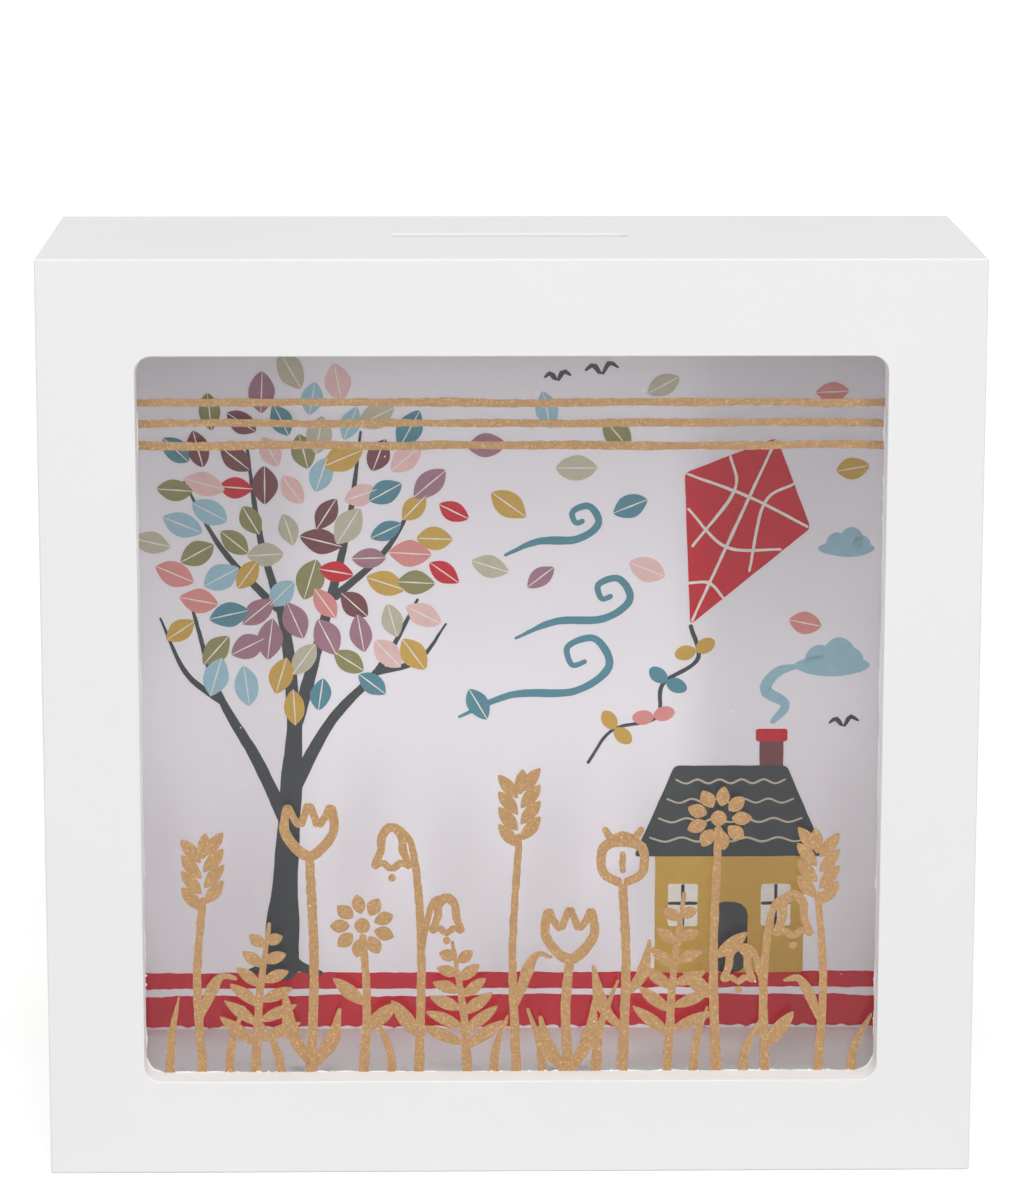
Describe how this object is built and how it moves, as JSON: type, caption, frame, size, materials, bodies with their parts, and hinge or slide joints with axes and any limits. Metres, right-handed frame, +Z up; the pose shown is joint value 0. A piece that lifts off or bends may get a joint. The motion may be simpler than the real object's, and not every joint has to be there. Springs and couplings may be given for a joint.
{
  "type": "money box",
  "caption": "Square white wooden money box with a glazed front over a printed card, a coin slot in the top and a removable back held by turn buttons.",
  "frame": {"origin": "centre of the base, on the surface the box stands on", "axes": "+X to the right seen from the front, +Y from the window to the back, +Z up"},
  "size_m": [0.14, 0.0568, 0.14],
  "materials": {
    "white_painted_wood": "smooth white paint, satin",
    "beech": "bare beech",
    "clear_pane": "clear, polished, gold print on its front",
    "printed_card": "matte printed card",
    "raw_fibreboard": "bare brown fibreboard",
    "zinc_steel": "zinc-plated steel"
  },
  "bodies": {
    "case": {"front_board": "white_painted_wood", "top_wall": "white_painted_wood", "bottom_wall": "white_painted_wood", "left_wall": "white_painted_wood", "right_wall": "white_painted_wood", "bead_top": "white_painted_wood", "bead_bottom": "white_painted_wood", "bead_left": "white_painted_wood", "bead_right": "white_painted_wood", "bead_pins": "zinc_steel", "corner_dowels": "beech", "window_pane": "clear_pane", "turn_button_washers": "zinc_steel", "turn_button_screws": "zinc_steel"},
    "back": {"back_panel": "raw_fibreboard", "backing_card": "printed_card"},
    "button_upper_left": {"turn_button_upper_left": "zinc_steel"},
    "button_lower_left": {"turn_button_lower_left": "zinc_steel"},
    "button_upper_right": {"turn_button_upper_right": "zinc_steel"},
    "button_lower_right": {"turn_button_lower_right": "zinc_steel"}
  },
  "joints": [
    {"name": "back_removal", "type": "slide", "parent": "case", "child": "back", "axis": [0, 1, 0], "range_m": [0, 0.06]},
    {"name": "turn_button_upper_left", "type": "hinge", "parent": "case", "child": "button_upper_left", "pos_m": [-0.06725, 0.0279, 0.1022], "axis": [0, 1, 0], "range_deg": [-90, 0]},
    {"name": "turn_button_lower_left", "type": "hinge", "parent": "case", "child": "button_lower_left", "pos_m": [-0.06725, 0.0279, 0.0378], "axis": [0, 1, 0], "range_deg": [-90, 0]},
    {"name": "turn_button_upper_right", "type": "hinge", "parent": "case", "child": "button_upper_right", "pos_m": [0.06725, 0.0279, 0.1022], "axis": [0, -1, 0], "range_deg": [-90, 0]},
    {"name": "turn_button_lower_right", "type": "hinge", "parent": "case", "child": "button_lower_right", "pos_m": [0.06725, 0.0279, 0.0378], "axis": [0, -1, 0], "range_deg": [-90, 0]}
  ]
}
